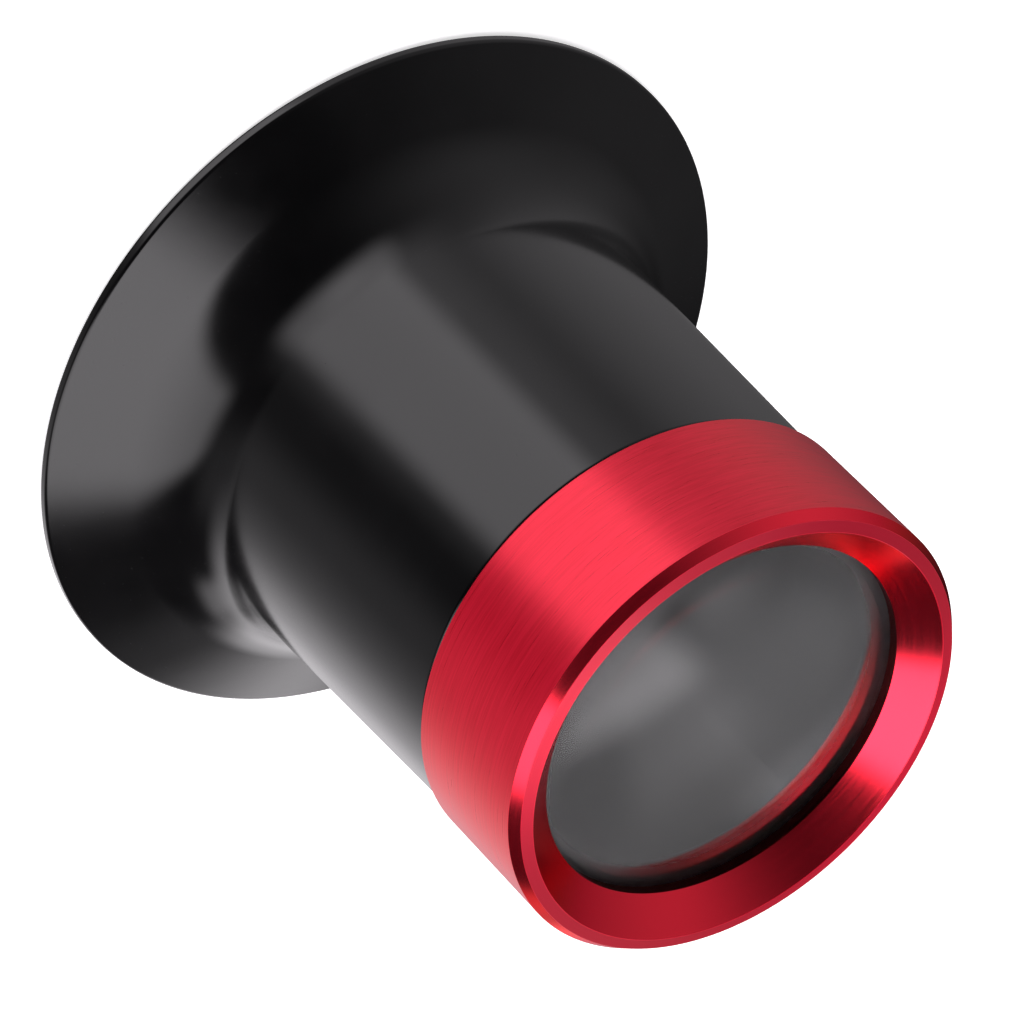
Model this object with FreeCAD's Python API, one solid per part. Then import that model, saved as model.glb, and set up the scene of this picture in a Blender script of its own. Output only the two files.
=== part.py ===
"""Monocular eye loupe: a flared black eyecup with a screw-on red lens ring at its narrow end.

Frame: millimetres, +Z along the optical axis from the eye rim towards the lens. The origin is the
centre of the rim's resting face, so the loupe stands on its rim with the lens ring on top.
"""
import FreeCAD, Part
import math
import os

# ---------------------------------------------------------------- driving dimensions, in mm
OVERALL_H = 35.2          # rim face to front of the lens ring
GAP = 0.02                # air left between faces that rest on each other

# eyecup: trumpet rim
RIM_R = 21.0              # outer radius of the rim
LIP_T = 0.75              # thickness of the brim
LIP_ROUND = 0.25          # rounding of the brim's two outer corners
FLARE_R = 5.8             # radius of the curve between barrel and brim, outside
BRIM_SLOPE = 65.0         # the conical brim's slope from the axis, degrees
# eyecup: barrel
BARREL_TOP_R = 13.25      # outside radius next to the lens ring
BARREL_TAPER = 1.56       # slope of the outside from the axis, degrees
BARREL_WALL = 1.6
SHOULDER_ROUND = 0.3
# eyecup: threaded neck
NECK_BORE_R = 10.60
NECK_STEP_H = 1.6         # thickness of the shoulder under the neck
NECK_STEP_CONE = 0.8      # height of the conical step inside
RELIEF_H = 0.45           # plain groove under the thread
RELIEF_DEPTH = 0.05

# lens ring
RING_R = 13.6
RING_H = 9.2
RING_BACK_CHAMFER = 0.25
FACE_OUT_R = 13.2         # outer edge of the front face
FACE_IN_R = 12.55         # inner edge of the front face
FACE_DROP = 0.13          # how far the face falls away outwards
BEVEL_H = 0.71            # depth at which the outer bevel meets the outside
CONE_IN_R = 10.74         # clear aperture
CONE_DEPTH = 1.60
SEAT_DEPTH = 2.20         # lens shoulder behind the front face
SEAT_R = 11.85            # bore around the lens
SEAT_LEN = 2.15
RING_RELIEF_H = 0.45      # groove that ends the inside thread
MOUTH_CHAMFER = 0.25      # lead-in at the open end of the inside thread

# lens: plano-convex crown glass, curved side out, about 77 mm focal length
LENS_R = 11.80
LENS_CURVE_R = 40.0
LENS_EDGE_T = 1.60
LENS_BEVEL = 0.12

# washer and retaining ring
WASHER_IN_R = 10.80
WASHER_OUT_R = 11.70
WASHER_T = 0.35
RETAINER_T = 1.30
RETAINER_BORE_R = 10.70
RETAINER_BEVEL = 0.25
SPANNER_SLOT_W = 1.4
SPANNER_SLOT_DEPTH = 0.6
RETAINER_TO_NECK = 0.20

# thread shared by the lens ring, the retaining ring and the eyecup's neck
PITCH = 0.75
MALE_ROOT_R = 11.78
MALE_CREST_R = 12.20
FEMALE_CREST_R = 11.90
FEMALE_ROOT_R = 12.30
RIDGE_ROOT_W = 0.55       # width of the male ridge at its root
RIDGE_CREST_W = 0.11      # and at its crest
FLANK_GAP = 0.05          # axial air on each flank
THREAD_CHAMFER = 0.15      # on the cores' ends
THREAD_SINK = 0.05        # how far a ridge is sunk into the wall it grows from
THREAD_START = 37.0       # where the helix starts round the axis, degrees

# ---------------------------------------------------------------- derived heights
RING_Z0 = OVERALL_H - RING_H
SEAT_Z = OVERALL_H - SEAT_DEPTH
SHOULDER_Z = RING_Z0 - GAP


def sag(radius):
    """Depth of the lens's curve at this radius."""
    return LENS_CURVE_R - math.sqrt(LENS_CURVE_R ** 2 - radius ** 2)


LENS_FRONT_Z = SEAT_Z - GAP + sag(CONE_IN_R)
LENS_EDGE_TOP_Z = LENS_FRONT_Z - sag(LENS_R)
LENS_EDGE_LOW_Z = LENS_EDGE_TOP_Z - LENS_EDGE_T
WASHER_LOW_Z = LENS_EDGE_LOW_Z - GAP - WASHER_T
RETAINER_TOP_Z = WASHER_LOW_Z - GAP
RETAINER_LOW_Z = RETAINER_TOP_Z - RETAINER_T
NECK_TOP_Z = RETAINER_LOW_Z - RETAINER_TO_NECK


# ---------------------------------------------------------------- helpers
def pt(radius, z):
    return FreeCAD.Vector(radius, 0, z)


class Profile:
    """Half-section in the XZ plane, drawn as (radius, z) points, then turned about Z."""

    def __init__(self, *start):
        self.first = self.last = start
        self.edges = []

    def to(self, *points):
        for point in points:
            self.edges.append(Part.LineSegment(pt(*self.last), pt(*point)).toShape())
            self.last = point
        return self

    def round(self, centre, end):
        """The shorter arc about a centre."""
        radius = math.dist(centre, end)
        mid_r = self.last[0] + end[0] - 2 * centre[0]
        mid_z = self.last[1] + end[1] - 2 * centre[1]
        scale = radius / math.hypot(mid_r, mid_z)
        middle = pt(centre[0] + mid_r * scale, centre[1] + mid_z * scale)
        self.edges.append(Part.Arc(pt(*self.last), middle, pt(*end)).toShape())
        self.last = end
        return self

    def solid(self):
        if math.dist(self.first, self.last) > 1e-9:
            self.to(self.first)
        face = Part.Face(Part.Wire(self.edges))
        return face.revolve(FreeCAD.Vector(0, 0, 0), FreeCAD.Vector(0, 0, 1), 360)


def male_width(radius):
    """Width of the outside thread's ridge at a radius."""
    slope = (RIDGE_ROOT_W - RIDGE_CREST_W) / (MALE_CREST_R - MALE_ROOT_R)
    return RIDGE_ROOT_W - slope * (radius - MALE_ROOT_R)


def female_width(radius):
    """Width of the inside thread's ridge: what the outside ridge and the air leave of a pitch."""
    return PITCH - male_width(radius) - 2 * FLANK_GAP


def thread_ridge(r_in, r_out, width, phase, z_low, z_high):
    """A trapezoid swept along the shared helix, with both blunt ends inside the two heights."""
    half_in, half_out = 0.5 * width(r_in), 0.5 * width(r_out)
    start = z_low + max(half_in, half_out)
    rise = z_high - max(half_in, half_out) - start
    helix = Part.makeHelix(PITCH, rise, r_in)
    helix.translate(FreeCAD.Vector(0, 0, start))
    section = Part.makePolygon([
        pt(r_in, start - half_in), pt(r_out, start - half_out),
        pt(r_out, start + half_out), pt(r_in, start + half_in), pt(r_in, start - half_in)])
    ridge = Part.Wire(helix).makePipeShell([section], True, True)
    angle = THREAD_START + 360 * ((start - SEAT_Z) / PITCH - phase)
    ridge.rotate(FreeCAD.Vector(0, 0, 0), FreeCAD.Vector(0, 0, 1), angle)
    return ridge


def male_ridge(z_low, z_high):
    return thread_ridge(MALE_ROOT_R - THREAD_SINK, MALE_CREST_R, male_width, 0.0, z_low, z_high)


def female_ridge(z_low, z_high):
    return thread_ridge(FEMALE_CREST_R, FEMALE_ROOT_R + THREAD_SINK, female_width, 0.5,
                        z_low, z_high)


# ---------------------------------------------------------------- pieces
def wall_point(centre, radius, slope):
    """Point on a curve bending outwards; slope is the wall's angle from the axis."""
    return (centre[0] - radius * math.cos(slope), centre[1] - radius * math.sin(slope))


def support(point, radius, slope):
    """How far out from the origin a wall of this slope lies if it touches a rounding about the point."""
    return point[0] * math.cos(slope) + point[1] * math.sin(slope) + radius


def flare_centre(barrel, barrel_at, brim, brim_at):
    """Centre of the curve that touches the barrel's wall and the brim's wall."""
    turn = math.sin(brim - barrel)
    out, down = barrel_at + FLARE_R, brim_at + FLARE_R
    return ((out * math.sin(brim) - down * math.sin(barrel)) / turn,
            (down * math.cos(barrel) - out * math.cos(brim)) / turn)


def make_eyecup():
    """Barrel, flare curve and conical brim outside and inside, threaded neck on top."""
    brim, barrel = math.radians(BRIM_SLOPE), math.radians(BARREL_TAPER)
    corner_c = (BARREL_TOP_R - SHOULDER_ROUND, SHOULDER_Z - SHOULDER_ROUND)
    lip_c = (RIM_R - LIP_ROUND, LIP_T - LIP_ROUND)
    flare_c = flare_centre(barrel, support(corner_c, SHOULDER_ROUND, barrel),
                           brim, support(lip_c, LIP_ROUND, brim))

    inner_r = FLARE_R + BARREL_WALL
    inner_low = wall_point(flare_c, inner_r, barrel)
    inner_brim = wall_point(flare_c, inner_r, brim)
    inner_rim_r = inner_brim[0] + inner_brim[1] * math.tan(brim)

    step_low_z = SHOULDER_Z - NECK_STEP_H - NECK_STEP_CONE
    step_r = inner_low[0] - (step_low_z - inner_low[1]) * math.tan(barrel)
    relief_r = MALE_ROOT_R - RELIEF_DEPTH
    relief_top = SHOULDER_Z + RELIEF_H

    body = Profile(NECK_BORE_R, NECK_TOP_Z).to(
        (MALE_ROOT_R - THREAD_CHAMFER, NECK_TOP_Z), (MALE_ROOT_R, NECK_TOP_Z - THREAD_CHAMFER),
        (MALE_ROOT_R, relief_top), (relief_r, relief_top), (relief_r, SHOULDER_Z),
        (corner_c[0], SHOULDER_Z))
    body.round(corner_c, wall_point(corner_c, -SHOULDER_ROUND, barrel))
    body.to(wall_point(flare_c, FLARE_R, barrel))
    body.round(flare_c, wall_point(flare_c, FLARE_R, brim))
    body.to(wall_point(lip_c, -LIP_ROUND, brim)).round(lip_c, (RIM_R, lip_c[1]))
    body.to((RIM_R, LIP_ROUND)).round((lip_c[0], LIP_ROUND), (lip_c[0], 0))
    body.to((inner_rim_r, 0), inner_brim).round(flare_c, inner_low)
    body.to((step_r, step_low_z), (NECK_BORE_R, step_low_z + NECK_STEP_CONE))
    return body.solid().fuse(male_ridge(relief_top, NECK_TOP_Z - THREAD_CHAMFER))


def make_lens_ring():
    """Turned ring: bevel, face, cone and land in front; seat, relief and thread behind."""
    relief_top = SEAT_Z - SEAT_LEN
    relief_low = relief_top - RING_RELIEF_H
    relief_r = FEMALE_ROOT_R + THREAD_SINK
    mouth_r = FEMALE_ROOT_R + MOUTH_CHAMFER
    blank = Profile(mouth_r, RING_Z0).to(
        (RING_R - RING_BACK_CHAMFER, RING_Z0), (RING_R, RING_Z0 + RING_BACK_CHAMFER),
        (RING_R, OVERALL_H - BEVEL_H), (FACE_OUT_R, OVERALL_H - FACE_DROP),
        (FACE_IN_R, OVERALL_H), (CONE_IN_R, OVERALL_H - CONE_DEPTH),
        (CONE_IN_R, SEAT_Z), (SEAT_R, SEAT_Z), (SEAT_R, relief_top),
        (relief_r, relief_top), (relief_r, relief_low), (FEMALE_ROOT_R, relief_low),
        (FEMALE_ROOT_R, RING_Z0 + MOUTH_CHAMFER)).solid()
    return blank.fuse(female_ridge(RING_Z0 + MOUTH_CHAMFER, relief_low))


def make_lens():
    """Curved in front, flat behind, with a small bevel round each face."""
    curve_c = (0, LENS_FRONT_Z - LENS_CURVE_R)
    bevel_r = LENS_R - LENS_BEVEL
    lens = Profile(0, LENS_FRONT_Z).round(curve_c, (bevel_r, LENS_FRONT_Z - sag(bevel_r)))
    lens.to((LENS_R, LENS_EDGE_TOP_Z - LENS_BEVEL), (LENS_R, LENS_EDGE_LOW_Z + LENS_BEVEL),
            (bevel_r, LENS_EDGE_LOW_Z), (0, LENS_EDGE_LOW_Z))
    return lens.solid()


def make_washer():
    top_z = WASHER_LOW_Z + WASHER_T
    return Profile(WASHER_IN_R, WASHER_LOW_Z).to(
        (WASHER_OUT_R, WASHER_LOW_Z), (WASHER_OUT_R, top_z), (WASHER_IN_R, top_z)).solid()


def make_retaining_ring():
    """Threaded outside, bevelled bore, two spanner slots across the face on the eye side."""
    edge_r = MALE_ROOT_R - THREAD_CHAMFER
    ring = Profile(RETAINER_BORE_R, RETAINER_TOP_Z).to(
        (edge_r, RETAINER_TOP_Z), (MALE_ROOT_R, RETAINER_TOP_Z - THREAD_CHAMFER),
        (MALE_ROOT_R, RETAINER_LOW_Z + THREAD_CHAMFER), (edge_r, RETAINER_LOW_Z),
        (RETAINER_BORE_R + RETAINER_BEVEL, RETAINER_LOW_Z),
        (RETAINER_BORE_R, RETAINER_LOW_Z + RETAINER_BEVEL)).solid()
    slot = Part.makeBox(2 * RING_R, SPANNER_SLOT_W, 2 * SPANNER_SLOT_DEPTH)
    slot.translate(FreeCAD.Vector(-RING_R, -SPANNER_SLOT_W / 2, RETAINER_LOW_Z - SPANNER_SLOT_DEPTH))
    return ring.fuse(male_ridge(RETAINER_LOW_Z, RETAINER_TOP_Z)).cut(slot)


PIECES = {
    "eyecup": make_eyecup,
    "lens_ring": make_lens_ring,
    "objective_lens": make_lens,
    "lens_washer": make_washer,
    "retaining_ring": make_retaining_ring,
}

os.makedirs("parts", exist_ok=True)
for name, make in PIECES.items():
    shape = make()
    shape.exportStep("parts/" + name + ".step")
    print(name, "solids", len(shape.Solids), "valid", shape.isValid(), "volume", round(shape.Volume, 2))
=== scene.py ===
"""Looks of the eye loupe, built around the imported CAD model. Metres, +Z along the optical axis."""

import math

import bmesh
import bpy
from mathutils import Matrix, Vector

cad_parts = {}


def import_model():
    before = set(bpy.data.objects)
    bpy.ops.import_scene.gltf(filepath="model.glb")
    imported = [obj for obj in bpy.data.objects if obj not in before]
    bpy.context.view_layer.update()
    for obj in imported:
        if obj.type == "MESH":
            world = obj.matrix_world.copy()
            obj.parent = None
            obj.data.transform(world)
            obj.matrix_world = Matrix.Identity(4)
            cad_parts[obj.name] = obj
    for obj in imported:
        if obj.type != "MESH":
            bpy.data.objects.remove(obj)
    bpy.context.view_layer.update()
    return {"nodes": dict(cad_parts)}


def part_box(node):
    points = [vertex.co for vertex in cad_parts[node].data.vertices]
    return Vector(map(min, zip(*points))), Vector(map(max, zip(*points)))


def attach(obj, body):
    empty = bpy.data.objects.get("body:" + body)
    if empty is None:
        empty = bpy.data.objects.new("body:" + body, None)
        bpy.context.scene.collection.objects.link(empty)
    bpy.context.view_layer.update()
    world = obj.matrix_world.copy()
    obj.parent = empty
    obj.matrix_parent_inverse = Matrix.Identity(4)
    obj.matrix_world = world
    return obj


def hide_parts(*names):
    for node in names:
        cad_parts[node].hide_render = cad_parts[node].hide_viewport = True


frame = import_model()
nodes = frame["nodes"]
MM = 0.001

# ---------------------------------------------------------------- places read from the frame
cup_low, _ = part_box("eyecup")
_, ring_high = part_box("lens_ring")
RIM_Z = cup_low[2]          # the rim's underside, from which every height below is measured
FRONT_Z = ring_high[2]      # the lens ring's front


# ---------------------------------------------------------------- fine turned meshes, in mm
TURN_STEPS = 384
ROUND_STEP = math.radians(3)        # largest turn between two points of an arc
SHARP_ANGLE = math.radians(24)
PITCH = 0.75
THREAD_STEP = PITCH / 24            # profile rows stand this far apart along a thread
THREAD_START = math.radians(37)     # where the male ridge crosses the datum height
THREAD_DATUM = 33.0
# thread ridges: radius at root and crest, half width at root and crest, phase in turns
MALE = (11.78, 12.20, 0.275, 0.055, 0.0)
FEMALE = (12.30, 11.90, 0.322, 0.113, 0.5)


def height(z):
    """A profile's height in mm as a place in metres."""
    return z * MM + RIM_Z


def arc(centre, radius, start, end):
    """Points of an arc; angles in radians from +R towards +Z."""
    count = max(2, math.ceil(abs(end - start) / ROUND_STEP))
    return [(centre[0] + radius * math.cos(start + (end - start) * i / count),
             centre[1] + radius * math.sin(start + (end - start) * i / count))
            for i in range(count + 1)]


def threaded(kind, z_from, z_to, ridge_low, ridge_high):
    """Profile rows of a wall that carries a thread between two heights."""
    count = round(abs(z_to - z_from) / THREAD_STEP)
    return [(kind, z_from + (z_to - z_from) * i / count, ridge_low, ridge_high)
            for i in range(count + 1)]


def thread_radius(kind, z, ridge_low, ridge_high, angle):
    """Radius of a threaded wall at one height and angle; the ridge keeps between its two ends."""
    root, crest, half_root, half_crest, phase = kind
    turns = (z - THREAD_DATUM) / PITCH - (angle - THREAD_START) / math.tau - phase
    off = (turns + 0.5) % 1 - 0.5
    middle = z - off * PITCH
    if not ridge_low + half_root <= middle <= ridge_high - half_root:
        return root
    share = (half_root - abs(off) * PITCH) / (half_root - half_crest)
    return root + (crest - root) * min(1, max(0, share))


def turned(name, rows, tips=None):
    """Mesh object turned from profile rows: (radius, z) or a threaded row.

    A tube's profile closes on itself. A solid's ends at two tips on the axis, given by height.
    """
    points, faces = [], []
    for row in rows:
        for step in range(TURN_STEPS):
            angle = math.tau * step / TURN_STEPS
            if len(row) == 2:
                radius, z = row
            else:
                kind, z, low, high = row
                radius = thread_radius(kind, z, low, high, angle)
            points.append((radius * math.cos(angle) * MM, radius * math.sin(angle) * MM, height(z)))
    bands = len(rows) - 1 if tips else len(rows)
    for band in range(bands):
        here, there = band * TURN_STEPS, (band + 1) % len(rows) * TURN_STEPS
        for step in range(TURN_STEPS):
            after = (step + 1) % TURN_STEPS
            faces.append((here + step, here + after, there + after, there + step))
    for tip, row in zip(tips or (), (0, len(rows) - 1)):
        first, tip_point = row * TURN_STEPS, len(points)
        points.append((0, 0, height(tip)))
        for step in range(TURN_STEPS):
            faces.append((first + step, first + (step + 1) % TURN_STEPS, tip_point))
    mesh = bpy.data.meshes.new(name)
    mesh.from_pydata(points, [], faces)
    made = bpy.data.objects.new(name, mesh)
    bpy.context.scene.collection.objects.link(made)
    cleaner = bmesh.new()
    cleaner.from_mesh(mesh)
    bmesh.ops.recalc_face_normals(cleaner, faces=cleaner.faces)
    cleaner.to_mesh(mesh)
    cleaner.free()
    mesh.shade_smooth()
    mesh.set_sharp_from_angle(angle=SHARP_ANGLE)
    return made


def fit_in(made, node):
    """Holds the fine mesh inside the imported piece's own box."""
    low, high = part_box(node)
    for vertex in made.data.vertices:
        for i in range(3):
            vertex.co[i] = min(high[i], max(low[i], vertex.co[i]))


# eyecup: the lip's and the shoulder corner's arc centres, the walls' angles, the threaded neck
LIP_R, LIP_Z, LIP_ROUND = 20.75, 0.50, 0.25
CORNER_R, CORNER_Z, CORNER_ROUND = 12.95, 25.68, 0.30
TAPER, BRIM = math.radians(1.56), math.radians(65)
FLARE_R, WALL = 5.8, 1.6
SHOULDER_Z, NECK_TOP = 25.98, 29.179
STEP_DROP, STEP_H = 2.4, 0.8        # the bore narrows this far under the shoulder, over this height
NECK_BORE_R, NECK_BEVEL = 10.6, 0.15
NECK_RELIEF_H, NECK_RELIEF_R = 0.45, 11.73


def flare_centre():
    """The curve that touches the tapered barrel and the conical brim."""
    out = CORNER_R * math.cos(TAPER) + CORNER_Z * math.sin(TAPER) + CORNER_ROUND + FLARE_R
    down = LIP_R * math.cos(BRIM) + LIP_Z * math.sin(BRIM) + LIP_ROUND + FLARE_R
    turn = math.sin(BRIM - TAPER)
    return ((out * math.sin(BRIM) - down * math.sin(TAPER)) / turn,
            (down * math.cos(TAPER) - out * math.cos(BRIM)) / turn)


def eyecup_rows():
    centre = flare_centre()
    inner = FLARE_R + WALL
    inner_low = (centre[0] - inner * math.cos(TAPER), centre[1] - inner * math.sin(TAPER))
    inner_brim = (centre[0] - inner * math.cos(BRIM), centre[1] - inner * math.sin(BRIM))
    step_z = SHOULDER_Z - STEP_DROP
    thread_low, thread_high = SHOULDER_Z + NECK_RELIEF_H, NECK_TOP - NECK_BEVEL
    rows = arc((CORNER_R, CORNER_Z), CORNER_ROUND, math.pi / 2, TAPER)
    rows += arc(centre, FLARE_R, math.pi + TAPER, math.pi + BRIM)
    rows += arc((LIP_R, LIP_Z), LIP_ROUND, BRIM, 0)
    rows += arc((LIP_R, LIP_ROUND), LIP_ROUND, 0, -math.pi / 2)
    rows.append((inner_brim[0] + inner_brim[1] * math.tan(BRIM), 0))
    rows += arc(centre, inner, math.pi + BRIM, math.pi + TAPER)
    rows.append((inner_low[0] - (step_z - inner_low[1]) * math.tan(TAPER), step_z))
    rows += [(NECK_BORE_R, step_z + STEP_H), (NECK_BORE_R, NECK_TOP)]
    rows.append((MALE[0] - NECK_BEVEL, NECK_TOP))
    rows += threaded(MALE, thread_high, thread_low, thread_low, thread_high)
    rows += [(NECK_RELIEF_R, thread_low), (NECK_RELIEF_R, SHOULDER_Z)]
    return rows


# lens ring: heights and radii in the profile's own order, starting at the thread's mouth
RING_BACK, RING_FRONT, RING_OUTSIDE = 26.0, 35.2, 13.6
MOUTH_R, BACK_BEVEL = 12.55, 0.25
BEVEL_FOOT, FACE_OUT_R, FACE_OUT_Z = 34.49, 13.2, 35.07
CONE_OUT_R, LAND_R, LAND_TOP, LAND_BACK = 12.55, 10.74, 33.6, 33.0
SEAT_R, SEAT_BACK = 11.85, 30.85
RING_RELIEF_R, RING_THREAD_END = 12.35, 30.40


def ring_rows():
    thread_start = RING_BACK + BACK_BEVEL
    rows = [(MOUTH_R, RING_BACK), (RING_OUTSIDE - BACK_BEVEL, RING_BACK),
            (RING_OUTSIDE, thread_start), (RING_OUTSIDE, BEVEL_FOOT), (FACE_OUT_R, FACE_OUT_Z),
            (CONE_OUT_R, RING_FRONT), (LAND_R, LAND_TOP), (LAND_R, LAND_BACK),
            (SEAT_R, LAND_BACK), (SEAT_R, SEAT_BACK), (RING_RELIEF_R, SEAT_BACK),
            (RING_RELIEF_R, RING_THREAD_END)]
    return rows + threaded(FEMALE, RING_THREAD_END, thread_start, thread_start, RING_THREAD_END)


# lens
LENS_CURVE, LENS_EDGE_R, LENS_BEVEL = 40.0, 11.8, 0.12
LENS_FRONT, LENS_BACK = 34.449, 31.069
LENS_FRONT_STEPS, LENS_BACK_STEPS = 48, 8


def lens_rows():
    """Curved in front, flat behind."""
    face_r = LENS_EDGE_R - LENS_BEVEL
    rows = []
    for i in range(1, LENS_FRONT_STEPS + 1):
        radius = face_r * i / LENS_FRONT_STEPS
        rows.append((radius, LENS_FRONT - LENS_CURVE + math.sqrt(LENS_CURVE ** 2 - radius ** 2)))
    rows.append((LENS_EDGE_R, rows[-1][1] - LENS_BEVEL))
    rows.append((LENS_EDGE_R, LENS_BACK + LENS_BEVEL))
    return rows + [(face_r * i / LENS_BACK_STEPS, LENS_BACK) for i in range(LENS_BACK_STEPS, 0, -1)]


def replace(node, body, rows, tips=None):
    """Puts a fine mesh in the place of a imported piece, on the same body."""
    made = turned(node + "_fine", rows, tips)
    fit_in(made, node)
    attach(made, body)
    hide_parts(node)
    return made


FINE = {
    "eyecup": replace("eyecup", "cup", eyecup_rows()),
    "lens_ring": replace("lens_ring", "ring", ring_rows()),
    "objective_lens": replace("objective_lens", "lens_group", lens_rows(),
                              (LENS_FRONT, LENS_BACK)),
}


# ---------------------------------------------------------------- node helpers
class Tree:
    """Short calls for building a node tree."""

    def __init__(self, tree):
        self.tree = tree
        self.tree.nodes.clear()

    def node(self, kind, values=None, **settings):
        made = self.tree.nodes.new(kind)
        for key, value in settings.items():
            setattr(made, key, value)
        for key, value in (values or {}).items():
            self.put(made.inputs[key], value)
        return made

    def put(self, socket, value):
        if isinstance(value, bpy.types.NodeSocket):
            self.tree.links.new(value, socket)
        else:
            socket.default_value = value

    def math(self, operation, *terms, clamp=False):
        made = self.node("ShaderNodeMath", operation=operation, use_clamp=clamp)
        for socket, term in zip(made.inputs, terms):
            self.put(socket, term)
        return made.outputs[0]

    def ramp(self, value, low, high, out_low=0.0, out_high=1.0, smooth=True):
        """Maps low..high to out_low..out_high, clamped."""
        made = self.node("ShaderNodeMapRange", clamp=True,
                         interpolation_type="SMOOTHSTEP" if smooth else "LINEAR")
        for name, term in (("Value", value), ("From Min", low), ("From Max", high),
                           ("To Min", out_low), ("To Max", out_high)):
            self.put(made.inputs[name], term)
        return made.outputs["Result"]

    def band(self, value, low, high, soft):
        """1 between low and high, with soft edges."""
        rise = self.ramp(value, low - soft, low + soft)
        fall = self.ramp(value, high - soft, high + soft, 1.0, 0.0)
        return self.math("MULTIPLY", rise, fall)

    def mix(self, factor, a, b):
        made = self.node("ShaderNodeMix", data_type="RGBA")
        self.put(made.inputs["Factor"], factor)
        self.put(made.inputs["A"], a)
        self.put(made.inputs["B"], b)
        return made.outputs["Result"]

    def combine(self, x, y, z):
        made = self.node("ShaderNodeCombineXYZ")
        for socket, term in zip(made.inputs, (x, y, z)):
            self.put(socket, term)
        return made.outputs[0]

    def noise(self, vector, scale, detail=2.0, rough=0.5):
        made = self.node("ShaderNodeTexNoise", {"Vector": vector, "Scale": scale,
                                                "Detail": detail, "Roughness": rough})
        return made.outputs["Fac"]

    def bump(self, height, strength, distance, normal=None):
        made = self.node("ShaderNodeBump", {"Strength": strength, "Distance": distance,
                                            "Height": height})
        if normal is not None:
            self.put(made.inputs["Normal"], normal)
        return made.outputs["Normal"]


def material(name):
    made = bpy.data.materials.new(name)
    made.use_nodes = True
    tree = Tree(made.node_tree)
    out = tree.node("ShaderNodeOutputMaterial")
    shader = tree.node("ShaderNodeBsdfPrincipled")
    tree.tree.links.new(shader.outputs[0], out.inputs["Surface"])
    return made, tree, shader


def place(tree):
    """Object-space point as (vector, x, y, z, distance from the axis), all in metres."""
    point = tree.node("ShaderNodeTexCoord").outputs["Object"]
    split = tree.node("ShaderNodeSeparateXYZ", {"Vector": point})
    x, y, z = split.outputs
    radius = tree.math("SQRT", tree.math("ADD", tree.math("MULTIPLY", x, x),
                                         tree.math("MULTIPLY", y, y)))
    return point, x, y, z, radius


def turning_marks(tree, x, y, z, radius, per_metre, drift):
    """Noise that runs in circles round the axis, drifting slowly along each circle."""
    across = tree.math("MULTIPLY", radius, per_metre)
    along = tree.math("MULTIPLY", z, per_metre)
    around_x = tree.math("MULTIPLY", x, drift)
    around_y = tree.math("MULTIPLY", y, drift)
    vector = tree.combine(tree.math("ADD", across, around_x),
                          tree.math("ADD", along, around_y),
                          tree.math("SUBTRACT", around_x, around_y))
    return tree.noise(vector, 1.0, 3.0, 0.6)


# ---------------------------------------------------------------- materials
# the red dye on each surface of the lens ring, and painted shade as the near-black red of the seat
RED_GROOVE, RED_RIDGE = (0.64, 0.007, 0.026, 1), (0.76, 0.012, 0.040, 1)
RED_BRIGHT, RED_FACE = (0.90, 0.018, 0.044, 1), (0.44, 0.006, 0.026, 1)
# painted shade: the seat and its land, in the recess behind the cone, are coloured near-black red
RED_SEAT_PAINTED_SHADE = (0.10, 0.004, 0.006, 1)
# turning marks: how many per metre, and how far they drift along each circle
COARSE_MARKS, FINE_MARKS, COARSE_SHARE = (4800.0, 60.0), (11000.0, 320.0), 0.35
# how metallic the dyed body is, and what the bright and the flat surfaces add
METAL_BODY, METAL_BRIGHT, METAL_FACE = 0.45, 0.5, 0.3
SPECULAR_TINT, COAT_WEIGHT, COAT_ROUGH = (0.6, 0.12, 0.2, 1), 0.25, 0.22


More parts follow.
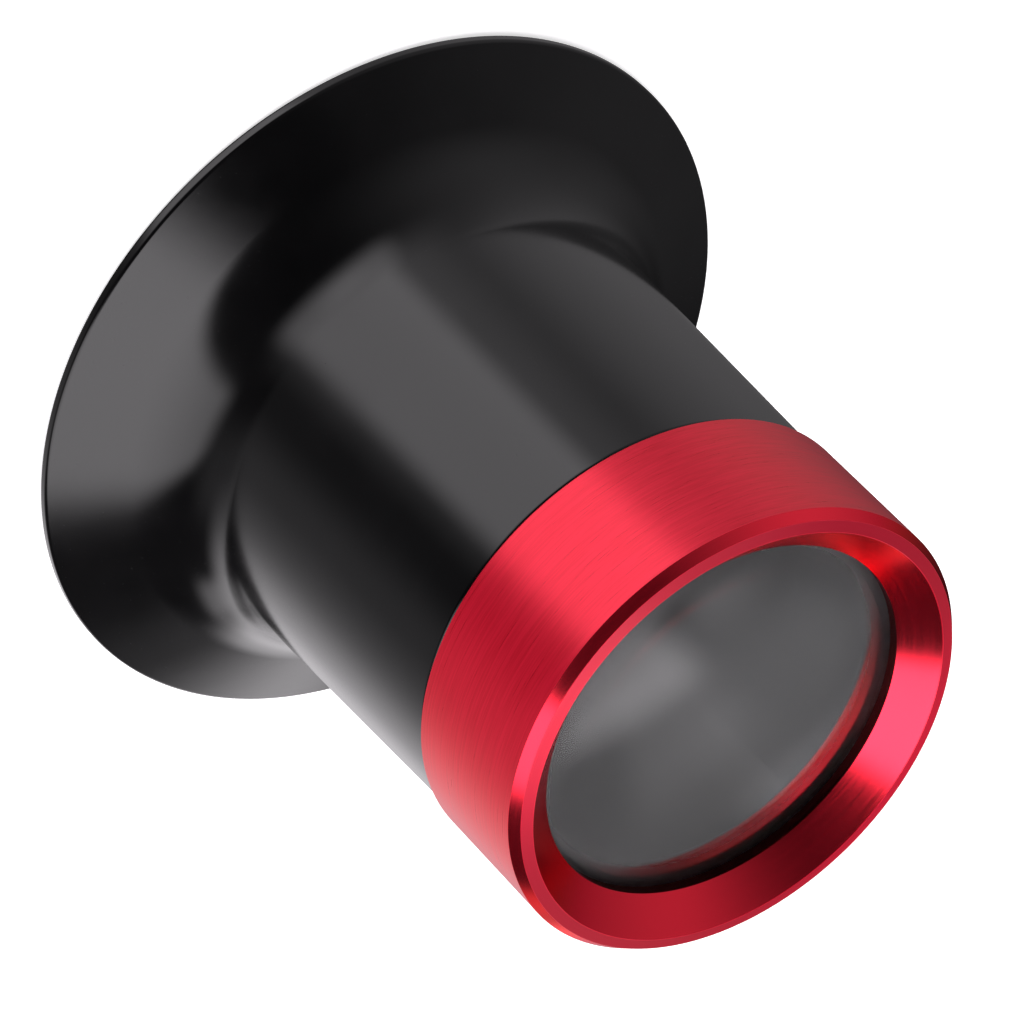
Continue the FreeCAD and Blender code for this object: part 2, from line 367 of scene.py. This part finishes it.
def red_anodised():
    """Brushed outside, matt face, bright-turned cone, painted shade on the seat; the dye gives the
    metal a milky red body.
    """
    made, tree, shader = material("red_anodised_turned")
    _, x, y, z, radius = place(tree)
    coarse = turning_marks(tree, x, y, z, radius, *COARSE_MARKS)
    fine = turning_marks(tree, x, y, z, radius, *FINE_MARKS)
    marks = tree.math("ADD", tree.math("MULTIPLY", coarse, COARSE_SHARE),
                      tree.math("MULTIPLY", fine, 1 - COARSE_SHARE))

    # masks, each 1 on its own surface: the face, the cone, the bevel, and the seat with its land,
    # which gets painted shade
    face = tree.band(radius, (CONE_OUT_R + 0.02) * MM, (FACE_OUT_R - 0.01) * MM, 0.02 * MM)
    face = tree.math("MULTIPLY", face, tree.ramp(z, FRONT_Z - 0.3 * MM, FRONT_Z - 0.25 * MM))
    in_cone = tree.ramp(radius, (CONE_OUT_R - 0.05) * MM, (CONE_OUT_R - 0.01) * MM, 1.0, 0.0)
    cone = tree.math("MULTIPLY", in_cone, tree.ramp(z, FRONT_Z - 3 * MM, FRONT_Z - 2.5 * MM))
    past_face = tree.ramp(radius, FACE_OUT_R * MM, (FACE_OUT_R + 0.02) * MM)
    past_foot = tree.ramp(z, height(BEVEL_FOOT), height(BEVEL_FOOT + 0.02))
    bevel = tree.math("MULTIPLY", past_face, past_foot)
    bright = tree.math("MAXIMUM", cone, bevel)
    in_seat = tree.ramp(radius, (SEAT_R + 0.03) * MM, (SEAT_R + 0.07) * MM, 1.0, 0.0)
    behind_cone = tree.ramp(z, height(LAND_TOP - 0.02), height(LAND_TOP + 0.02), 1.0, 0.0)
    # painted shade: this mask darkens the seat and its land behind the cone
    seat_painted_shade = tree.math("MULTIPLY", in_seat, behind_cone)

    colour = tree.mix(tree.ramp(marks, 0.35, 0.65), RED_GROOVE, RED_RIDGE)
    colour = tree.mix(bright, colour, RED_BRIGHT)
    colour = tree.mix(face, colour, RED_FACE)
    colour = tree.mix(seat_painted_shade, colour, RED_SEAT_PAINTED_SHADE)
    rough = tree.ramp(marks, 0.3, 0.7, 0.27, 0.33)
    rough = tree.math("ADD", rough, tree.math("MULTIPLY", face, 0.20))
    rough = tree.math("SUBTRACT", rough, tree.math("MULTIPLY", bright, 0.10))
    depth = tree.math("MULTIPLY", marks, tree.math("SUBTRACT", 1.0, tree.math("MULTIPLY", face, 0.7)))
    tree.put(shader.inputs["Base Color"], colour)
    tree.put(shader.inputs["Roughness"], rough)
    metal = tree.math("ADD", METAL_BODY, tree.math("MULTIPLY", bright, METAL_BRIGHT))
    metal = tree.math("ADD", metal, tree.math("MULTIPLY", face, METAL_FACE))
    tree.put(shader.inputs["Metallic"], metal)
    tree.put(shader.inputs["Specular Tint"], SPECULAR_TINT)
    tree.put(shader.inputs["Coat Weight"], COAT_WEIGHT)
    tree.put(shader.inputs["Coat Roughness"], COAT_ROUGH)
    tree.put(shader.inputs["Anisotropic"], 0.7)
    tree.put(shader.inputs["Anisotropic Rotation"], 0.25)
    tangent = tree.node("ShaderNodeTangent", direction_type="RADIAL", axis="Z")
    tree.put(shader.inputs["Tangent"], tangent.outputs[0])
    tree.put(shader.inputs["Normal"], tree.bump(depth, 0.25, 0.01 * MM))
    return made


BLACK_DEEP, BLACK_PALE = (0.0022, 0.0022, 0.0024, 1), (0.0036, 0.0035, 0.0038, 1)
BORE_MATT_R, BORE_GLOSS_R = 12.4, 12.7


def gloss_black():
    """Glossy outside, matt in the bore so that it doesn't throw light at the eye."""
    made, tree, shader = material("gloss_black_moulding")
    point, _, _, _, radius = place(tree)
    flow = tree.noise(point, 140.0, 3.0)
    peel = tree.noise(point, 900.0, 2.0)
    speck = tree.noise(point, 9000.0, 1.0)
    colour = tree.mix(tree.ramp(flow, 0.3, 0.7), BLACK_DEEP, BLACK_PALE)
    tree.put(shader.inputs["Base Color"], colour)
    rough = tree.ramp(flow, 0.3, 0.7, 0.10, 0.16)
    rough = tree.math("ADD", rough, tree.ramp(speck, 0.72, 0.80, 0.0, 0.15))
    bore = tree.ramp(radius, BORE_MATT_R * MM, BORE_GLOSS_R * MM, 0.4, 0.0)
    tree.put(shader.inputs["Roughness"], tree.math("ADD", rough, bore))
    tree.put(shader.inputs["Specular IOR Level"], 0.35)
    tree.put(shader.inputs["Normal"], tree.bump(peel, 0.05, 0.02 * MM))
    return made


GLASS_CLEAR, GLASS_EDGE = (0.93, 0.94, 0.95, 1), (0.05, 0.05, 0.05, 1)
GLASS_IOR = 1.39                    # under crown glass's 1.52, for the weak gloss of a coated lens
EDGE_FROM_R, EDGE_FULL_R = 11.62, 11.70
HAZE_FROM_R, HAZE_FULL_R = 8.4, 10.6


def lens_glass():
    """Blackened edge, a little haze on the flat back and towards the rim."""
    made, tree, shader = material("polished_glass")
    point, _, _, z, radius = place(tree)
    smear = tree.noise(point, 260.0, 4.0)
    edge = tree.ramp(radius, EDGE_FROM_R * MM, EDGE_FULL_R * MM)
    tree.put(shader.inputs["Base Color"], tree.mix(edge, GLASS_CLEAR, GLASS_EDGE))
    back = tree.ramp(z, FRONT_Z - 4.05 * MM, FRONT_Z - 3.95 * MM, 0.06, 0.0)
    rough = tree.math("ADD", back, tree.ramp(smear, 0.45, 0.8, 0.0, 0.03))
    rough = tree.math("ADD", rough, tree.ramp(radius, HAZE_FROM_R * MM, HAZE_FULL_R * MM, 0.0, 0.28))
    tree.put(shader.inputs["Roughness"], tree.math("ADD", rough, tree.math("MULTIPLY", edge, 0.5)))
    tree.put(shader.inputs["IOR"], GLASS_IOR)
    tree.put(shader.inputs["Transmission Weight"], 1.0)
    return made


ANODISED_DARK, ANODISED_PALE = (0.010, 0.010, 0.011, 1), (0.03, 0.03, 0.032, 1)
RETAINER_MARKS = (9000.0, 120.0)


def black_anodised():
    made, tree, shader = material("black_anodised")
    _, x, y, z, radius = place(tree)
    marks = turning_marks(tree, x, y, z, radius, *RETAINER_MARKS)
    tree.put(shader.inputs["Base Color"], tree.mix(marks, ANODISED_DARK, ANODISED_PALE))
    tree.put(shader.inputs["Roughness"], tree.ramp(marks, 0.3, 0.7, 0.32, 0.46))
    tree.put(shader.inputs["Metallic"], 0.6)
    tree.put(shader.inputs["Normal"], tree.bump(marks, 0.2, 0.01 * MM))
    return made


RUBBER_DARK, RUBBER_PALE = (0.010, 0.010, 0.010, 1), (0.026, 0.026, 0.026, 1)


def black_rubber():
    made, tree, shader = material("black_rubber")
    point = place(tree)[0]
    grain = tree.noise(point, 5000.0, 3.0)
    tree.put(shader.inputs["Base Color"], tree.mix(grain, RUBBER_DARK, RUBBER_PALE))
    tree.put(shader.inputs["Roughness"], tree.ramp(grain, 0.3, 0.7, 0.62, 0.8))
    tree.put(shader.inputs["Normal"], tree.bump(grain, 0.2, 0.02 * MM))
    return made


def dress(node, made):
    data = (FINE.get(node) or nodes[node]).data
    data.materials.clear()
    data.materials.append(made)


dress("eyecup", gloss_black())
dress("lens_ring", red_anodised())
dress("objective_lens", lens_glass())
dress("lens_washer", black_rubber())
dress("retaining_ring", black_anodised())


# ---------------------------------------------------------------- studio
# The studio is a dark room with soft boxes, written as patches of the world. Azimuth 0 faces the
# camera's side and grows towards +X; elevation is measured from the floor, both in degrees. The
# patches were chosen one by one. Those at the back run past 180, so that no seam shows there.
SOFT_BOXES = (
    # az low, az high, soft, el low, el high, soft, strength
    (-37, 18, 7, -50, -1, 13, 1.25),     # long strip under the camera
    (-24, -4, 9, -26, -5, 9, 0.42),      # its brighter middle
    (-54, 22, 16, -58, -12, 22, 0.54),   # spill round the strip
    (-125, -52, 42, -70, 52, 30, 0.41),  # dim fill on the left
    (148, 167, 6, -19, 9, 9, 1.70),      # low window on the right
    (128, 144, 5, -20, -2, 7, 0.66),     # its curtain
    (103, 168, 26, -55, -20, 8, 0.88),   # pale wall under it
    (146, 195, 9, 18, 60, 12, 0.66),     # back wall, right half
    (-195, -157, 8, 20, 60, 12, 0.44),   # and left half
    (165, 195, 4, 34, 58, 8, 0.50),      # beam across it, right half
    (-195, -177, 4, 34, 58, 8, 0.50),    # and left half
    (-168, -125, 10, 55, 100, 8, 1.30),  # bright ceiling over it
    (-170, -125, 14, 0, 50, 14, 0.06),   # faint wall behind the dim fill
    (58, 96, 14, -70, -2, 10, 0.20),     # glow under the key box
    (-190, 190, 5, -60, -35, 6, 0.09),   # the table, seen dimly
)
AMBIENT = 0.012
STUDIO_LEVEL = 1.45
STUDIO_COLOUR, PAPER_COLOUR = (1, 0.965, 1, 1), (0.97, 0.97, 0.97, 1)
# the big key box: on the +X side, beyond two planes and above a soft lower edge
KEY_SIDE, KEY_BACK = (0.707, 0.707, 0.0), (-0.235, -0.774, 0.588)
KEY_EDGE_SOFT = 0.09
KEY_LEFT_FROM, KEY_LEFT_FULL = -0.10, 0.02
KEY_LOW, KEY_LOW_SOFT = 0.04, 0.19
KEY_STRENGTH, KEY_RISE = 1.55, 1.70


def world():
    """The studio for every ray but the camera's own, which sees plain pale paper."""
    made = bpy.data.worlds.new("studio")
    bpy.context.scene.world = made
    made.use_nodes = True
    tree = Tree(made.node_tree)
    way = tree.node("ShaderNodeTexCoord").outputs["Generated"]
    x, y, z = tree.node("ShaderNodeSeparateXYZ", {"Vector": way}).outputs
    azimuth = tree.math("DEGREES", tree.math("ARCTAN2", x, tree.math("MULTIPLY", y, -1.0)))
    elevation = tree.math("DEGREES", tree.math("ARCSINE", z))

    key = tree.ramp(z, KEY_LOW - KEY_LOW_SOFT, KEY_LOW + KEY_LOW_SOFT)
    key = tree.math("MULTIPLY", key, tree.ramp(x, KEY_LEFT_FROM, KEY_LEFT_FULL))
    for plane in (KEY_SIDE, KEY_BACK):
        beyond = tree.node("ShaderNodeVectorMath", {0: way, 1: plane}, operation="DOT_PRODUCT")
        side = tree.ramp(beyond.outputs["Value"], -KEY_EDGE_SOFT, KEY_EDGE_SOFT)
        key = tree.math("MULTIPLY", key, side)
    level = tree.math("ADD", tree.math("MULTIPLY", z, KEY_RISE), KEY_STRENGTH)
    light = tree.math("ADD", tree.math("MULTIPLY", key, level), AMBIENT)
    for az_low, az_high, az_soft, el_low, el_high, el_soft, strength in SOFT_BOXES:
        patch = tree.math("MULTIPLY", tree.band(azimuth, az_low, az_high, az_soft),
                          tree.band(elevation, el_low, el_high, el_soft))
        light = tree.math("ADD", light, tree.math("MULTIPLY", patch, strength))
    light = tree.math("MULTIPLY", light, STUDIO_LEVEL)
    studio = tree.node("ShaderNodeBackground", {"Color": STUDIO_COLOUR, "Strength": light})
    paper = tree.node("ShaderNodeBackground", {"Color": PAPER_COLOUR, "Strength": 1.0})
    seen = tree.node("ShaderNodeLightPath").outputs["Is Camera Ray"]
    both = tree.node("ShaderNodeMixShader")
    tree.put(both.inputs[0], seen)
    tree.put(both.inputs[1], studio.outputs[0])
    tree.put(both.inputs[2], paper.outputs[0])
    out = tree.node("ShaderNodeOutputWorld")
    tree.put(out.inputs["Surface"], both.outputs[0])


FLOOR_HALF, FLOOR_GAP = 3.0, 0.02 * MM   # the gap keeps the rim's underside clear of the floor
FLOOR_GREY, FLOOR_GLOW = (0.8, 0.8, 0.8, 1), 0.62


def floor():
    """Pale paper that throws nothing back at the object: the soft boxes stand for all light."""
    low = RIM_Z - FLOOR_GAP
    mesh = bpy.data.meshes.new("floor")
    mesh.from_pydata([(-FLOOR_HALF, -FLOOR_HALF, low), (FLOOR_HALF, -FLOOR_HALF, low),
                      (FLOOR_HALF, FLOOR_HALF, low), (-FLOOR_HALF, FLOOR_HALF, low)],
                     [], [(0, 1, 2, 3)])
    made = bpy.data.objects.new("floor", mesh)
    bpy.context.scene.collection.objects.link(made)
    finish = bpy.data.materials.new("floor_paper")
    finish.use_nodes = True
    tree = Tree(finish.node_tree)
    paper = tree.node("ShaderNodeBsdfDiffuse", {"Color": FLOOR_GREY})
    glow = tree.node("ShaderNodeEmission", {"Color": (1, 1, 1, 1), "Strength": FLOOR_GLOW})
    both = tree.node("ShaderNodeAddShader")
    tree.put(both.inputs[0], paper.outputs[0])
    tree.put(both.inputs[1], glow.outputs[0])
    out = tree.node("ShaderNodeOutputMaterial")
    tree.put(out.inputs["Surface"], both.outputs[0])
    mesh.materials.append(finish)
    made.visible_glossy = False
    made.visible_diffuse = False
    made.visible_shadow = False


world()
floor()

# ---------------------------------------------------------------- camera
LENS_MM = 253.0
ELEVATION = math.radians(40.17)
ROLL = math.radians(45.42)        # the loupe's axis points this far below the picture's right
DISTANCE = 0.3799
AIM = Vector((0.19 * MM, 0.0, height(13.73)))
SENSOR_MM = 36.0


def camera():
    data = bpy.data.cameras.new("camera")
    data.lens = LENS_MM
    data.sensor_width = SENSOR_MM
    data.clip_start, data.clip_end = 0.01, 20.0
    made = bpy.data.objects.new("camera", data)
    bpy.context.scene.collection.objects.link(made)
    forward = Vector((0, math.cos(ELEVATION), -math.sin(ELEVATION)))
    side = Vector((1, 0, 0))
    upright = side.cross(forward)
    right = math.cos(ROLL) * upright - math.sin(ROLL) * side
    up = -math.sin(ROLL) * upright - math.cos(ROLL) * side
    turn = Matrix((right, up, -forward)).transposed()
    made.matrix_world = Matrix.Translation(AIM - forward * DISTANCE) @ turn.to_4x4()
    bpy.context.scene.camera = made


camera()
bpy.context.scene.view_settings.view_transform = "Standard"
bpy.context.scene.view_settings.look = "None"
